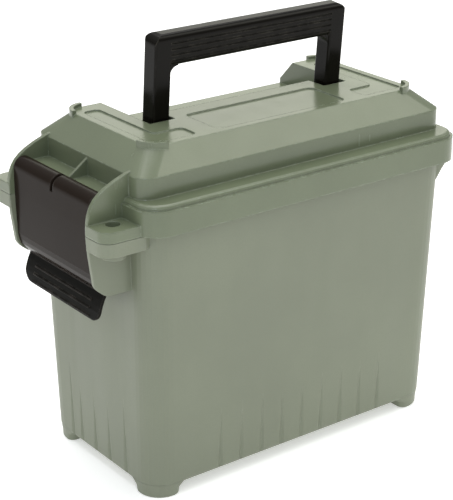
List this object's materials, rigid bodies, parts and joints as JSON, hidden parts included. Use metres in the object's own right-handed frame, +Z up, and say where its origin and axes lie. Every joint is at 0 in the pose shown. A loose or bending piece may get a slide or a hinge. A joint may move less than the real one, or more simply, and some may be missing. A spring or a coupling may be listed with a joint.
{
  "type": "dry storage can",
  "caption": "Moulded plastic dry storage can with a hinged sealing lid, a snap latch, padlock lugs and a folding carry handle.",
  "frame": {"origin": "centre of the bounding box on the plane the feet stand on", "axes": "+X along the can towards the hinge, +Y to the back side where the handle folds down, +Z up"},
  "size_m": [0.2348, 0.1264, 0.2391],
  "materials": {
    "tub_plastic": "fine satin moulding",
    "lid_plastic": "satin moulding",
    "handle_plastic": "semi-gloss black",
    "latch_plastic": "gloss black",
    "seal_rubber": "smooth",
    "pin_steel": "plain"
  },
  "bodies": {
    "can": {"tub": "tub_plastic", "hinge_pin_front": "pin_steel", "hinge_pin_back": "pin_steel"},
    "lid": {"lid": "lid_plastic", "lid_seal": "seal_rubber", "latch_pin": "pin_steel", "handle_pin_left": "pin_steel", "handle_pin_right": "pin_steel"},
    "handle": {"handle": "handle_plastic"},
    "latch": {"latch": "latch_plastic"}
  },
  "joints": [
    {"name": "lid_hinge", "type": "hinge", "parent": "can", "child": "lid", "pos_m": [0.1134, 0, 0.1498], "axis": [0, 1, 0], "range_deg": [0, 105]},
    {"name": "latch_pivot", "type": "hinge", "parent": "lid", "child": "latch", "pos_m": [-0.1087, 0, 0.1684], "axis": [0, 1, 0], "range_deg": [0, 100]},
    {"name": "handle_fold", "type": "hinge", "parent": "lid", "child": "handle", "pos_m": [0, 0, 0.1845], "axis": [-1, 0, 0], "range_deg": [-8, 95]}
  ]
}
